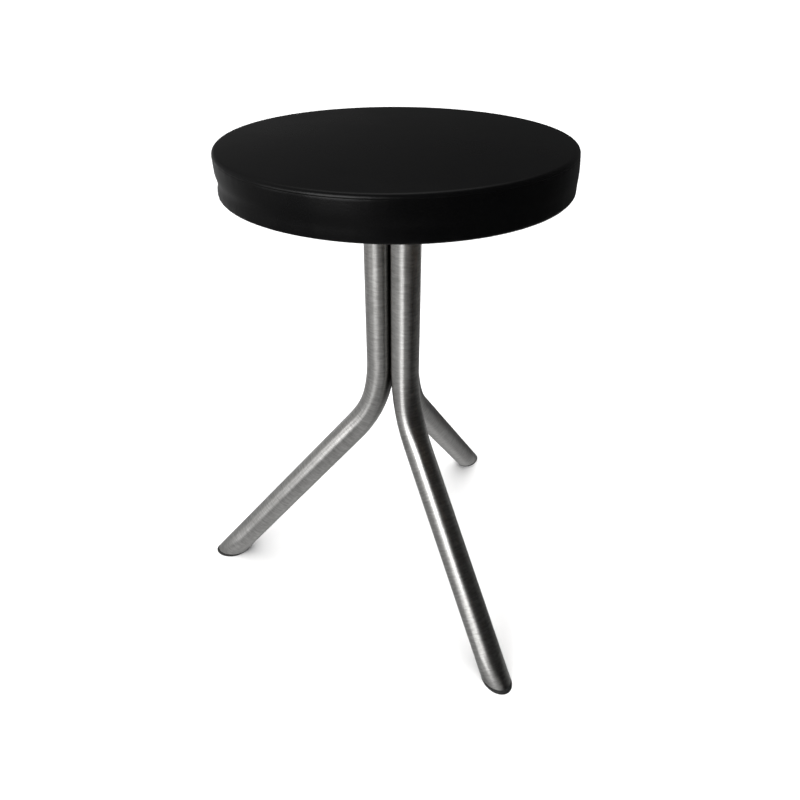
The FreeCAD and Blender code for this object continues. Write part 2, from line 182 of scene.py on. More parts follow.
# Light of the room along x, y or z of a direction: its strengths at two values, and these values
ROOM_SIDES = (0.36, 0.02, -0.6, 0.0)       # lighter on the left
ROOM_LEVEL = (1.0, 1.5, -0.35, -0.05)      # less under the floor
ROOM_FRONT = (1.0, 0.12, 0.3, 0.8)         # less behind
BACK_WALL = (0.0, 0.064, 0.3, 0.8)         # added behind
BACK_WALL_SIDES = (1.0, 0.7, -0.05, 0.2)

# Patches of light in the room: azimuth, elevation, radiance, and the angles from the middle of a
# patch where it is still full and where it is gone. Angles are in degrees.
GLOWS = (
    (-10, -60, 0.58, 18, 45),
    (-150, -22, 0.30, 8, 38),
    (170, -60, 0.30, 18, 45),
    (180, 65, 1.0, 5, 35),
    (190, 72, 1.1, 2, 20),
    (125, 0, 0.04, 10, 50),
    (112, -60, 0.25, 12, 40),
)


# Mesh helpers


def new_piece(name, points, faces, material):
    """A smooth mesh that rides on the stool, with its finish."""
    mesh = bpy.data.meshes.new(name)
    mesh.from_pydata([tuple(p) for p in points], [], faces)
    mesh.validate()
    mesh.shade_smooth()
    mesh.materials.append(material)
    piece = bpy.data.objects.new(name, mesh)
    bpy.context.scene.collection.objects.link(piece)
    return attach(piece, "root")


def vector_attribute(piece, name, values):
    """Gives each point of a piece a vector that its material can read."""
    attribute = piece.data.attributes.new(name, "FLOAT_VECTOR", "POINT")
    attribute.data.foreach_set("vector", np.asarray(values, np.float32).ravel())


def ring_quads(first, following, segments):
    """Quads between two rings, given by the index of each ring's first point."""
    quads = []
    for n in range(segments):
        m = (n + 1) % segments
        quads.append((first + n, following + n, following + m, first + m))
    return quads


def fan(middle, ring, segments):
    """Triangles between one point and a ring, given by the index of the ring's first point."""
    return [(middle, ring + n, ring + (n + 1) % segments) for n in range(segments)]


# Seat cover. A station is a place down its section, a whole number where one of its parts starts:
# the crown, the rolled edge, the side under the seam, the hem and the margin under the board.

AT_MIDDLE, AT_ROLL, AT_SEAM, AT_HEM, AT_MARGIN, AT_CUT = range(6)
ROLL_END = AT_SEAM - 0.06        # the plain roll ends here, and the plain side starts at the next
SIDE_START = AT_SEAM + 0.03
LIP_ABOVE = AT_SEAM - 0.025      # between them the leather turns into the seam
LIP_BELOW = AT_SEAM + 0.012
INNER_ROLL_END = AT_SEAM - 0.3   # where the inner face leaves the roll for the seam allowance
FOAM_STEP = 0.03                 # from the end of the allowance back out to the cover
FOAM_SIDE_END = AT_SEAM + 0.6
FIRM_FROM = AT_HEM - 0.1         # held by the board and the staples from here on
ANGLES = np.arange(SEAT_SEGMENTS) * 2 * math.pi / SEAT_SEGMENTS


def round_seat(sizes):
    """A size at each angle, from its value on the left to its value on the right."""
    left, right = sizes
    return left + (right - left) * (1 + np.cos(ANGLES)) / 2


def with_addition(size, addition, angle, reach):
    """A size at each angle, larger about one angle."""
    off = (np.degrees(ANGLES) - angle + 180) % 360 - 180
    return size + addition * np.exp(-(off / reach) ** 2)


def ring_noise(count, seed):
    """Smooth noise round the seat, with about as many waves as the count."""
    reach = count / math.pi
    places = [Vector((reach * math.cos(a), reach * math.sin(a), seed)) for a in ANGLES]
    return np.array([noise.noise(place) for place in places])


def staple_folds():
    """0 at each staple, up to about 1 between two of them."""
    between = (ANGLES / STAPLE_PITCH + 0.5) % 1.0
    share, change = PLEAT_SHARE
    return np.sin(math.pi * between) ** 3 * (share + change * ring_noise(STAPLE_COUNT, 4.4))


rim = round_seat(RIM_RADIUS)
bulge = round_seat(SIDE_BULGE)
tuck = round_seat(LOWER_TUCK)
crown = with_addition(*CROWN)
edge = with_addition(*EDGE_RADIUS)
waist = with_addition(*WAIST)
hem = with_addition(*HEM_RADIUS)
seam = SEAT_TOP - crown - edge
hem_top = MARGIN_BOTTOM + hem
margin_edge = MARGIN_CUT_RADIUS + MARGIN_WAVE * ring_noise(MARGIN_WAVE_COUNT, 8.2)
puckers = PUCKER * ring_noise(PUCKER_COUNT, 1.7)
creases = HEM_CREASE * ring_noise(HEM_CREASE_COUNT, 5.2)
folds = PLEAT * staple_folds()


def side_radius(z):
    """The cover's outer radius between the seam and the hem."""
    down = (seam - z) / (seam - MARGIN_BOTTOM)
    drawn_in = waist * np.exp(-((z - BOARD_TOP) / WAIST_HALF_HEIGHT) ** 2)
    return rim + bulge * 4 * down * (1 - down) - drawn_in - tuck * down


def crown_ring(share, inset):
    """Out over the top from its middle."""
    return share * (rim - edge), SEAT_TOP - crown * share ** 2 - inset


def edge_ring(share, inset):
    """Over the rolled edge, down to the seam."""
    slope = 2 * crown / (rim - edge)
    turn = (1 - share) * (math.pi / 2 - slope)
    radius = edge - inset
    pucker = puckers * np.exp(-edge * turn / PUCKER_REACH_UP)
    return rim - edge + radius * np.cos(turn) + pucker, seam + radius * np.sin(turn)


def side_ring(share, inset):
    """Down the side from the seam."""
    z = seam + (hem_top - seam) * share
    pucker = puckers * np.exp(-(seam - z) / PUCKER_REACH_DOWN)
    crease = creases * np.exp(-(z - hem_top) / HEM_CREASE_REACH)
    return side_radius(z) - inset + pucker + crease, z


def hem_ring(share, inset):
    """Round the lower edge of the board."""
    turn = share * math.pi / 2
    r = side_radius(hem_top) - hem + (hem - inset) * math.cos(turn) + creases * (1 - share)
    return r, hem_top - (hem - inset) * math.sin(turn)


def margin_ring(share, inset):
    """In under the board, with its pleats."""
    outer = side_radius(hem_top) - hem
    return outer + (margin_edge - outer) * share, MARGIN_BOTTOM + inset - folds * share


SECTION_PARTS = (crown_ring, edge_ring, side_ring, hem_ring, margin_ring)


def cover_shape(station, inset=0.0):
    """Radius and level of the cover at each angle, at a station and a depth under its outer face."""
    part = min(int(station), len(SECTION_PARTS) - 1)
    return SECTION_PARTS[part](station - part, inset)


def stations(start, end, count):
    return np.linspace(start, end, count).tolist()


DRAFT_STATIONS = [station for part, count in enumerate(DRAFT_RINGS)
                  for station in stations(part, part + 1, count + 1)[1:]]


def held_weight(station, point):
    """How firmly the cover is held: by staples and board, by the seam, and unevenly by the foam."""
    if station > FIRM_FROM:
        return 1.0
    lump = noise.noise(Vector([value * LUMPS_PER_METRE for value in point]))
    hold = FOAM_HOLD + FOAM_LUMPS * lump
    return hold + (SEAM_HOLD - hold) * math.exp(-abs(station - AT_SEAM) / SEAM_HOLD_REACH)


def draft_cover():
    """A coarse mesh of the cover's outer face, with a group for how firmly its points are held."""
    angles = ANGLES[::FINER]
    rings = []
    for station in DRAFT_STATIONS:
        r, z = (values[::FINER] for values in cover_shape(station))
        rings.append(np.stack([AXIS_X + r * np.cos(angles), r * np.sin(angles), z], 1))
    points = np.concatenate(rings + [[(AXIS_X, 0, SEAT_TOP)]])
    middle = len(points) - 1
    faces = fan(middle, 0, DRAFT_SEGMENTS)
    for row in range(len(DRAFT_STATIONS) - 1):
        faces += ring_quads(row * DRAFT_SEGMENTS, (row + 1) * DRAFT_SEGMENTS, DRAFT_SEGMENTS)
    mesh = bpy.data.meshes.new("cover_draft")
    mesh.from_pydata([tuple(p) for p in points], [], faces)
    draft = bpy.data.objects.new("cover_draft", mesh)
    bpy.context.scene.collection.objects.link(draft)
    held = draft.vertex_groups.new(name="held")
    for index, point in enumerate(points):
        station = DRAFT_STATIONS[index // DRAFT_SEGMENTS] if index < middle else 0
        held.add([index], held_weight(station, point), "REPLACE")
    return draft, points


def blown_points(draft):
    """Where the draft's points settle when a cloth simulation blows it out against what holds it."""
    cloth = draft.modifiers.new("cloth", "CLOTH")
    cloth.settings.use_pressure = True
    cloth.settings.uniform_pressure_force = PRESSURE
    cloth.settings.vertex_group_mass = "held"
    cloth.settings.effector_weights.gravity = 0
    cloth.settings.quality = CLOTH_QUALITY
    cloth.collision_settings.use_collision = False
    cloth.point_cache.frame_start = 1
    cloth.point_cache.frame_end = CLOTH_FRAMES
    for number in range(1, CLOTH_FRAMES + 1):
        bpy.context.scene.frame_set(number)
    settled = draft.evaluated_get(bpy.context.evaluated_depsgraph_get()).data
    places = np.zeros(len(settled.vertices) * 3, np.float32)
    settled.vertices.foreach_get("co", places)
    bpy.context.scene.frame_set(1)
    return places.reshape(-1, 3)


def uneven(values):
    """Rings of a measure without their mean, capped, and with the finer segments of the seat."""
    rings = values[:-1].reshape(len(DRAFT_STATIONS), DRAFT_SEGMENTS)
    rings = np.clip(rings - rings.mean(1, keepdims=True), -MOST_MOVE, MOST_MOVE)
    return np.fft.irfft(np.fft.rfft(rings, axis=1), SEAT_SEGMENTS, axis=1) * FINER


def cloth_moves():
    """How far the cover lies out and up from its shape, at each draft station and angle."""
    draft, points = draft_cover()
    ends = blown_points(draft)
    bpy.data.objects.remove(draft)
    out = np.hypot(ends[:, 0] - AXIS_X, ends[:, 1]) - np.hypot(points[:, 0] - AXIS_X, points[:, 1])
    return uneven(out), uneven(ends[:, 2] - points[:, 2])


moved_out, moved_up = cloth_moves()


def cover_ring(station, inset=0.0):
    """A ring of a seat piece: the cover's shape with the unevenness of the simulated cloth."""
    r, z = cover_shape(station, inset)
    place = float(np.interp(station, DRAFT_STATIONS, np.arange(len(DRAFT_STATIONS))))
    low = min(int(place), len(DRAFT_STATIONS) - 2)
    share = place - low
    fade = min(1.0, station / DRAFT_STATIONS[0])
    out = moved_out[low] * (1 - share) + moved_out[low + 1] * share
    up = moved_up[low] * (1 - share) + moved_up[low + 1] * share
    return r + fade * out, z + fade * up


def cover_rings(start, end, count, inset=0.0):
    return [cover_ring(station, inset) for station in stations(start, end, count)]


def ring_piece(name, rings, closed, material):
    """A seat piece from rings of (r, z). A ring of no radius is one point."""
    points = []
    starts = []
    for r, z in rings:
        starts.append(len(points))
        if np.max(r) < 1e-6:
            points.append((AXIS_X, 0, float(np.mean(z))))
        else:
            points.extend(zip(AXIS_X + r * np.cos(ANGLES), r * np.sin(ANGLES), z))
    counts = np.diff(starts + [len(points)])
    faces = []
    for a in range(len(rings) if closed else len(rings) - 1):
        b = (a + 1) % len(rings)
        if counts[a] == 1:
            faces += fan(starts[a], starts[b], SEAT_SEGMENTS)
        elif counts[b] == 1:
            faces += [face[::-1] for face in fan(starts[b], starts[a], SEAT_SEGMENTS)]
        else:
            faces += ring_quads(starts[a], starts[b], SEAT_SEGMENTS)
    return new_piece(name, points, faces, material)


ALLOWANCE_END = AT_SEAM + SEAM_ALLOWANCE / float(np.mean(seam - hem_top))


def top_panel_piece(material):
    """The top of the cover, rolled over the edge, its seam allowance turned down inside."""
    c = COVER_THICKNESS
    rings = cover_rings(AT_MIDDLE, AT_ROLL, CROWN_RINGS)
    rings += cover_rings(AT_ROLL, ROLL_END, ROLL_RINGS)[1:]
    rings += [cover_ring(LIP_ABOVE, SEAM_LIP), cover_ring(AT_SEAM, SEAM_GROOVE)]
    rings += [cover_ring(AT_SEAM, 2 * c), cover_ring(ALLOWANCE_END, 2 * c)]
    rings += [cover_ring(ALLOWANCE_END, 3 * c), cover_ring(AT_SEAM, 3 * c)]
    rings += cover_rings(INNER_ROLL_END, AT_ROLL, INNER_ROLL_RINGS, c)
    rings += cover_rings(AT_ROLL, AT_MIDDLE, CROWN_RINGS, c)[1:]
    return ring_piece("seat_top_cover", rings, False, material)


def side_band_piece(material):
    """The band round the seat, turned in under the board."""
    c = COVER_THICKNESS
    rings = [cover_ring(AT_SEAM, SEAM_GROOVE), cover_ring(LIP_BELOW, SEAM_LIP)]
    rings += cover_rings(SIDE_START, AT_HEM, SIDE_RINGS)
    rings += cover_rings(AT_HEM, AT_MARGIN, HEM_RINGS)[1:]
    rings += cover_rings(AT_MARGIN, AT_CUT, MARGIN_RINGS)[1:]
    rings += cover_rings(AT_CUT, AT_MARGIN, MARGIN_RINGS, c)
    rings += cover_rings(AT_MARGIN, AT_HEM, INNER_HEM_RINGS, c)[1:]
    rings += cover_rings(AT_HEM, AT_SEAM, INNER_SIDE_RINGS, c)[1:]
    return ring_piece("seat_side_band", rings, True, material)


def foam_piece(material):
    """The pad that fills the cover above the board, cut back round the seam allowance."""
    c = COVER_THICKNESS
    rings = cover_rings(AT_MIDDLE, AT_ROLL, CROWN_RINGS, c)
    rings += cover_rings(AT_ROLL, INNER_ROLL_END, INNER_ROLL_RINGS, c)[1:]
    rings += [cover_ring(AT_SEAM, 3 * c), cover_ring(ALLOWANCE_END, 3 * c)]
    rings += cover_rings(ALLOWANCE_END + FOAM_STEP, FOAM_SIDE_END, FOAM_SIDE_RINGS, c)
    flat = np.full(SEAT_SEGMENTS, BOARD_TOP)
    rings += [(side_radius(BOARD_TOP) - c, flat), (np.zeros(SEAT_SEGMENTS), flat)]
    return ring_piece("seat_foam", rings, False, material)


# Staples


def staple_line():
    """Centre line of a staple, leg to leg, as (aside, up) from the middle of its crown."""
    half = STAPLE_CROWN / 2 - STAPLE_HEIGHT / 2
    line = [(-half, STAPLE_LEG)]
    for turn in np.linspace(0, math.pi / 2, STAPLE_CORNER_POINTS):
        aside = -half + STAPLE_CORNER * (1 - math.cos(turn))
        line.append((aside, STAPLE_CORNER * (1 - math.sin(turn))))
    return line + [(-aside, up) for aside, up in reversed(line)]


def squared_off(value):
    """A sine or cosine, changed to square off a round section."""
    return math.copysign(abs(value) ** STAPLE_ROUNDNESS, value)


def staple_rings():
    """Rings of a rounded flat wire along a staple's line, as (out, aside, up)."""
    line = staple_line()
    rings = []
    for n, (aside, up) in enumerate(line):
        before = line[max(n - 1, 0)]
        after = line[min(n + 1, len(line) - 1)]
        heading = math.atan2(after[1] - before[1], after[0] - before[0])
        ring = []
        for k in range(STAPLE_SIDES):
            a = 2 * math.pi * (k + 0.5) / STAPLE_SIDES
            across = STAPLE_WIDTH / 2 * squared_off(math.cos(a))
            over = STAPLE_HEIGHT / 2 * squared_off(math.sin(a))
            ring.append((across, aside - over * math.sin(heading), up + over * math.cos(heading)))
        rings.append(ring)
    return rings


def staples_piece(material):
    """The staples, each set by hand a little off true."""
    chance = random.Random(7)
    rings = staple_rings()
    points = []
    faces = []
    for n in range(STAPLE_COUNT):
        around = (n + 0.5) * STAPLE_PITCH
        circle = STAPLE_CIRCLE_RADIUS + chance.uniform(-STAPLE_OFF_CIRCLE, STAPLE_OFF_CIRCLE)
        skew = math.radians(chance.uniform(-STAPLE_SKEW, STAPLE_SKEW))
        place = (Matrix.Translation((AXIS_X, 0, STAPLES_BOTTOM + STAPLE_HEIGHT / 2))
                 @ Matrix.Rotation(around, 4, "Z") @ Matrix.Translation((circle, 0, 0))
                 @ Matrix.Rotation(skew, 4, "Z"))
        first = len(points)
        points.extend(place @ Vector(p) for ring in rings for p in ring)
        last = len(points) - STAPLE_SIDES
        for start in range(first, last, STAPLE_SIDES):
            faces += ring_quads(start, start + STAPLE_SIDES, STAPLE_SIDES)
        faces.append(tuple(first + k for k in range(STAPLE_SIDES)))
        faces.append(tuple(last + k for k in reversed(range(STAPLE_SIDES))))
    return new_piece("margin_staples", points, faces, material)


# Legs


def leg_path():
    """Steps down a leg's centre line: distance from the plate, place as out and up, and lean."""
    bend_out = BUNDLE_RADIUS + BEND_RADIUS * (1 - math.cos(LEG_SPLAY))
    bend_up = (FOOT_CIRCLE_RADIUS - bend_out) / math.tan(LEG_SPLAY)
    start_up = bend_up + BEND_RADIUS * math.sin(LEG_SPLAY)
    path = []
    for up in np.linspace(TUBE_TOP, start_up, STRAIGHT_RINGS):
        path.append((TUBE_TOP - up, BUNDLE_RADIUS, up, 0.0))
    straight = TUBE_TOP - start_up
    for lean in np.linspace(0, LEG_SPLAY, BEND_RINGS)[1:]:
        out = BUNDLE_RADIUS + BEND_RADIUS * (1 - math.cos(lean))
        up = start_up - BEND_RADIUS * math.sin(lean)
        path.append((straight + BEND_RADIUS * lean, out, up, lean))
    bent = straight + BEND_RADIUS * LEG_SPLAY
    run = (bend_up - TUBE_END) / math.cos(LEG_SPLAY) - 2 * TUBE_RADIUS
    for part in np.linspace(0, run, STRAIGHT_RINGS)[1:]:
        out = bend_out + part * math.sin(LEG_SPLAY)
        path.append((bent + part, out, bend_up - part * math.cos(LEG_SPLAY), LEG_SPLAY))
    return path


def flattened(lean):
    """How far a place in the bend is flattened by the bending, from 0 at both ends to 1."""
    share = lean / LEG_SPLAY
    return math.sin(math.pi * share ** (math.log(0.5) / math.log(BEND_FLATTEST))) ** 2


def leg_ring(step, radius, level=None):
    """Points round a leg at a step of its path, or where they run down to a level.

    Returns the places as (out, aside, up), the same places in the unbent tube, and the tube's
    direction.
    """
    s, out, up, lean = step
    inner_side = radius - BEND_FLATTENING * flattened(lean)
    flank = radius + BEND_BULGE * flattened(lean)
    places = []
    unbent = []
    for n in range(TUBE_SEGMENTS):
        a = 2 * math.pi * n / TUBE_SEGMENTS
        from_axis = math.cos(a) * (inner_side if math.cos(a) > 0 else radius)
        x = out + from_axis * math.cos(lean)
        y = flank * math.sin(a)
        z = up + from_axis * math.sin(lean)
        further = 0.0 if level is None else (z - level) / math.cos(lean)
        places.append((x + further * math.sin(lean), y, z - further * math.cos(lean)))
        unbent.append((radius * math.cos(a), radius * math.sin(a), -(s + further)))
    direction = (math.sin(lean), 0.0, -math.cos(lean))
    return places, unbent, [direction] * TUBE_SEGMENTS


def leg_piece(side, angle, material):
    """A hollow leg, with the unbent places and the directions that its brushed finish follows."""
    path = leg_path()
    inner_radius = TUBE_RADIUS - TUBE_WALL
    rings = [leg_ring(step, TUBE_RADIUS) for step in path]
    rings.append(leg_ring(path[-1], TUBE_RADIUS, TUBE_END + TUBE_DEBURR))
    rings.append(leg_ring(path[-1], TUBE_RADIUS - TUBE_DEBURR, TUBE_END))
    rings.append(leg_ring(path[-1], inner_radius, TUBE_END))
    rings += [leg_ring(step, inner_radius) for step in reversed(path)]
    turn = Matrix.Translation((AXIS_X, 0, 0)) @ Matrix.Rotation(math.radians(angle), 4, "Z")
    points = [turn @ Vector(p) for ring in rings for p in ring[0]]
    faces = []
    for n in range(len(rings)):
        following = (n + 1) % len(rings)
        faces += ring_quads(n * TUBE_SEGMENTS, following * TUBE_SEGMENTS, TUBE_SEGMENTS)
    piece = new_piece("steel_leg_" + side, points, faces, material)
    vector_attribute(piece, "unbent", [p for ring in rings for p in ring[1]])
    spin = turn.to_3x3()
    vector_attribute(piece, "along", [spin @ Vector(d) for ring in rings for d in ring[2]])
    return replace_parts(piece, "leg_tube_" + side)


# Welds


def weld_section(share):
    """Points of a bead's section at a share of its run, as (out from the tube, up to the plate)."""
    grown = math.sin(math.pi / 2 * min(share, 1 - share, WELD_TAPER) / WELD_TAPER)
    size = WELD_LEG * (WELD_END + (1 - WELD_END) * grown)
    points = [(-TUBE_WALL / 2, 0.0)]
    for turn in np.linspace(0, math.pi / 2, WELD_FACE_POINTS):
        middle = math.sin(2 * turn)
        ripple = math.sin(2 * math.pi * WELD_RIPPLES * share - WELD_RIPPLE_LAG * middle)
        leg = size * (1 - WELD_RIPPLE + WELD_RIPPLE * ripple * middle)
        points.append((leg * math.cos(turn) ** WELD_FACE, -leg * math.sin(turn) ** WELD_FACE))
    points.append((-TUBE_WALL / 2, -size))
    return points


def welds_piece(material):
    """A rippled bead round the outer side of each tube, under the plate."""
    points = []
    faces = []
    for angle in LEG_ANGLES.values():
        spin = Matrix.Rotation(math.radians(angle), 4, "Z")
        turn = Matrix.Translation((AXIS_X, 0, TUBE_TOP)) @ spin
        first = len(points)
        for step in range(WELD_STEPS + 1):
            share = step / WELD_STEPS
            section = weld_section(share)
            a = (2 * share - 1) * WELD_REACH
            for out, up in section:
                r = TUBE_RADIUS + out
                points.append(turn @ Vector((BUNDLE_RADIUS + r * math.cos(a), r * math.sin(a), up)))
        count = len(section)
        for step in range(WELD_STEPS):
            faces += ring_quads(first + (step + 1) * count, first + step * count, count)
        last = len(points) - count
        faces.append(tuple(first + k for k in reversed(range(count))))
        faces.append(tuple(last + k for k in range(count)))
    return new_piece("weld_beads", points, faces, material)


# Materials


def new_material(name):
    material = bpy.data.materials.new(name)
    material.use_nodes = True
    tree = material.node_tree
    return material, tree, tree.nodes["Principled BSDF"]


def mapped(tree, source, scale):
    """A texture place: a vector stretched by a scale."""
    node = tree.nodes.new("ShaderNodeVectorMath")
    node.operation = "MULTIPLY"
    tree.links.new(source, node.inputs[0])
    node.inputs[1].default_value = scale
    return node.outputs[0]


def split(tree, vector):
    node = tree.nodes.new("ShaderNodeSeparateXYZ")
    tree.links.new(vector, node.inputs[0])
    return node.outputs


def calculated(tree, operation, first, second=None):
    """A Math node on sockets or numbers."""
    node = tree.nodes.new("ShaderNodeMath")
    node.operation = operation
    for socket, value in zip(node.inputs, (first, second)):
        if isinstance(value, (int, float)):
            socket.default_value = value
        elif value is not None:
            tree.links.new(value, socket)
    return node.outputs[0]


def dot_product(tree, vector, direction):
    node = tree.nodes.new("ShaderNodeVectorMath")
    node.operation = "DOT_PRODUCT"
    tree.links.new(vector, node.inputs[0])
    node.inputs[1].default_value = direction
    return node.outputs["Value"]


def noise_of(tree, place, scale, detail=3.0, roughness=0.5):
    node = tree.nodes.new("ShaderNodeTexNoise")
    node.inputs["Scale"].default_value = scale
    node.inputs["Detail"].default_value = detail
    node.inputs["Roughness"].default_value = roughness
    tree.links.new(place, node.inputs["Vector"])
    return node.outputs["Fac"]


def cells_of(tree, place, scale, feature):
    node = tree.nodes.new("ShaderNodeTexVoronoi")
    node.feature = feature
    node.inputs["Scale"].default_value = scale
    tree.links.new(place, node.inputs["Vector"])
    return node.outputs["Distance"]


def ranged(tree, value, low, high, from_low=0.0, from_high=1.0, smooth=False):
    node = tree.nodes.new("ShaderNodeMapRange")
    if smooth:
        node.interpolation_type = "SMOOTHSTEP"
    tree.links.new(value, node.inputs["Value"])
    node.inputs["From Min"].default_value = from_low
    node.inputs["From Max"].default_value = from_high
    node.inputs["To Min"].default_value = low
    node.inputs["To Max"].default_value = high
    return node.outputs["Result"]


def mixed(tree, factor, first, second):
    """A colour between two, by a factor."""
    node = tree.nodes.new("ShaderNodeMix")
    node.data_type = "RGBA"
    tree.links.new(factor, node.inputs["Factor"])
    # Inputs 6 and 7 and output 2 are the Mix node's sockets for colours.
    for socket, colour in ((node.inputs[6], first), (node.inputs[7], second)):
        if isinstance(colour, tuple):
            socket.default_value = (*colour, 1.0)
        else:
            tree.links.new(colour, socket)
    return node.outputs[2]


def bumped(tree, shader, height, distance, strength=1.0, under=None):
    node = tree.nodes.new("ShaderNodeBump")
    node.inputs["Distance"].default_value = distance
    node.inputs["Strength"].default_value = strength
    tree.links.new(height, node.inputs["Height"])
    if under is not None:
        tree.links.new(under, node.inputs["Normal"])
    tree.links.new(node.outputs["Normal"], shader.inputs["Normal"])
    return node.outputs["Normal"]


def object_place(tree):
    return tree.nodes.new("ShaderNodeTexCoord").outputs["Object"]


def attribute_of(tree, name):
    node = tree.nodes.new("ShaderNodeAttribute")
    node.attribute_name = name
    return node.outputs["Vector"]


def leatherette():
    material, tree, shader = new_material("leatherette")
    place = object_place(tree)
    grain = cells_of(tree, place, 900.0, "SMOOTH_F1")
    cloud = noise_of(tree, place, 18.0, 4.0)
    fine = noise_of(tree, place, 1400.0, 2.0)
    colour = mixed(tree, cloud, (0.0010, 0.0010, 0.0011), (0.0017, 0.0017, 0.0018))
    tree.links.new(colour, shader.inputs["Base Color"])
    tree.links.new(ranged(tree, cloud, 0.26, 0.33, 0.3, 0.7), shader.inputs["Roughness"])
    under = bumped(tree, shader, grain, 0.00012, 0.35)
    bumped(tree, shader, fine, 0.00004, 0.3, under)
    shader.inputs["Specular IOR Level"].default_value = 0.12
    return material


def below_plate(tree, parts, lengths):
    """0 to 1 up a tube, between two lengths below the plate."""
    gone, full = lengths
    return ranged(tree, parts["Z"], 0.0, 1.0, -gone, -full)


def painted_crease_shade(tree, parts):
    """Painted shade along the lines where a tube touches its neighbours, above the bend alone."""
    out = calculated(tree, "MULTIPLY", parts["X"], math.cos(CREASE_SHADE_ANGLE) / TUBE_RADIUS)
    either_side = calculated(tree, "ABSOLUTE", parts["Y"])
    aside = calculated(tree, "MULTIPLY", either_side, math.sin(CREASE_SHADE_ANGLE) / TUBE_RADIUS)
    facing = calculated(tree, "ADD", out, aside)
    gone, full = CREASE_SHADE_REACH
    near = ranged(tree, facing, 0.0, CREASE_SHADE_DARKNESS, math.cos(gone), math.cos(full))
    return calculated(tree, "MULTIPLY", near, below_plate(tree, parts, CREASE_SHADE_LENGTH))


def satin_tube():
    """Steel brushed round the tube, with painted shade where tubes touch, and tinted by the weld's
    heat.
    """
    material, tree, shader = new_material("satin_tube")
    place = attribute_of(tree, "unbent")
    parts = split(tree, place)
    lines = noise_of(tree, mapped(tree, place, (160.0, 160.0, 2600.0)), 1.0, 4.0, 0.65)
    patches = noise_of(tree, mapped(tree, place, (60.0, 60.0, 14.0)), 1.0, 3.0)
    scuffs = noise_of(tree, mapped(tree, place, (110.0, 110.0, 520.0)), 1.0, 3.0, 0.6)
    shade = calculated(tree, "ADD", lines, ranged(tree, scuffs, -0.45, 0.45, 0.25, 0.75))
    bright = mixed(tree, shade, (0.36, 0.355, 0.345), (0.66, 0.655, 0.64))
    straw = mixed(tree, below_plate(tree, parts, STRAW_TINT), bright, (0.50, 0.36, 0.19))
    tinted = mixed(tree, below_plate(tree, parts, BLUE_TINT), straw, (0.13, 0.14, 0.20))
    # painted shade: the base colour goes dark along the lines where the tubes touch, above the bend
    crease_shaded = mixed(tree, painted_crease_shade(tree, parts), tinted, (0.045, 0.044, 0.042))
    tree.links.new(crease_shaded, shader.inputs["Base Color"])
    tree.links.new(ranged(tree, patches, 0.29, 0.39, 0.3, 0.7), shader.inputs["Roughness"])
    shader.inputs["Metallic"].default_value = 1.0
    shader.inputs["Anisotropic"].default_value = 0.7
    tree.links.new(attribute_of(tree, "along"), shader.inputs["Tangent"])
    bumped(tree, shader, lines, 0.00002, 0.4)
    return material


def plain_metal(name, dark, light, roughness):
    """Plated or bright steel for the small pieces."""
    material, tree, shader = new_material(name)
    cloud = noise_of(tree, object_place(tree), 260.0, 4.0)
    tree.links.new(mixed(tree, cloud, dark, light), shader.inputs["Base Color"])
    tree.links.new(ranged(tree, cloud, roughness - 0.08, roughness + 0.08), shader.inputs["Roughness"])
    shader.inputs["Metallic"].default_value = 1.0
    return material


def black_plastic():
    material, tree, shader = new_material("black_plastic")
    grain = noise_of(tree, object_place(tree), 2200.0, 2.0)
    colour = mixed(tree, grain, (0.010, 0.010, 0.010), (0.020, 0.020, 0.020))
    tree.links.new(colour, shader.inputs["Base Color"])
    tree.links.new(ranged(tree, grain, 0.45, 0.60), shader.inputs["Roughness"])
    bumped(tree, shader, grain, 0.00005, 0.3)
    return material


def plywood():
    material, tree, shader = new_material("plywood")
    place = object_place(tree)
    grain = noise_of(tree, mapped(tree, place, (6.0, 130.0, 400.0)), 1.0, 5.0, 0.6)
    pores = noise_of(tree, mapped(tree, place, (60.0, 1600.0, 1600.0)), 1.0, 2.0)
    colour = mixed(tree, grain, (0.42, 0.27, 0.15), (0.62, 0.45, 0.28))
    tree.links.new(colour, shader.inputs["Base Color"])
    tree.links.new(ranged(tree, grain, 0.55, 0.75), shader.inputs["Roughness"])
    bumped(tree, shader, pores, 0.0002, 0.3)
    return material


def foam():
    material, tree, shader = new_material("foam")
    cells = noise_of(tree, object_place(tree), 900.0, 2.0)
    colour = mixed(tree, cells, (0.70, 0.62, 0.42), (0.82, 0.76, 0.58))
    tree.links.new(colour, shader.inputs["Base Color"])
    shader.inputs["Roughness"].default_value = 0.9
    bumped(tree, shader, cells, 0.0006, 0.6)
    return material


def dress(node_name, material):
    """Gives a CAD node its finish."""
    mesh = nodes[node_name].data
    mesh.materials.clear()
    mesh.materials.append(material)


leather = leatherette()
steel = satin_tube()
zinc = plain_metal("zinc", (0.50, 0.52, 0.54), (0.66, 0.68, 0.70), 0.34)
plate_steel = plain_metal("plate_steel", (0.44, 0.44, 0.43), (0.56, 0.56, 0.55), 0.36)
weld_steel = plain_metal("weld_steel", (0.22, 0.20, 0.18), (0.42, 0.40, 0.37), 0.38)
wire = plain_metal("wire", (0.52, 0.52, 0.52), (0.68, 0.68, 0.68), 0.30)
plastic = black_plastic()

top_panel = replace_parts(top_panel_piece(leather), "cover_top_panel")
side_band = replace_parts(side_band_piece(leather), "cover_side_band")
foam_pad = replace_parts(foam_piece(foam()), "foam_pad")
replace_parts(staples_piece(wire), "cover_staples")
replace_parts(welds_piece(weld_steel), "plate_welds")
legs = {side: leg_piece(side, angle, steel) for side, angle in LEG_ANGLES.items()}
for side in LEG_ANGLES:
    dress("foot_glide_" + side, plastic)
dress("mounting_plate", plate_steel)
dress("seat_board", plywood())
for fastener in ("seat_bolts", "flat_washers", "spring_washers", "tee_nuts"):
    dress(fastener, zinc)


# Floor, light and camera. Azimuth 0 is the camera's side and grows to the right.


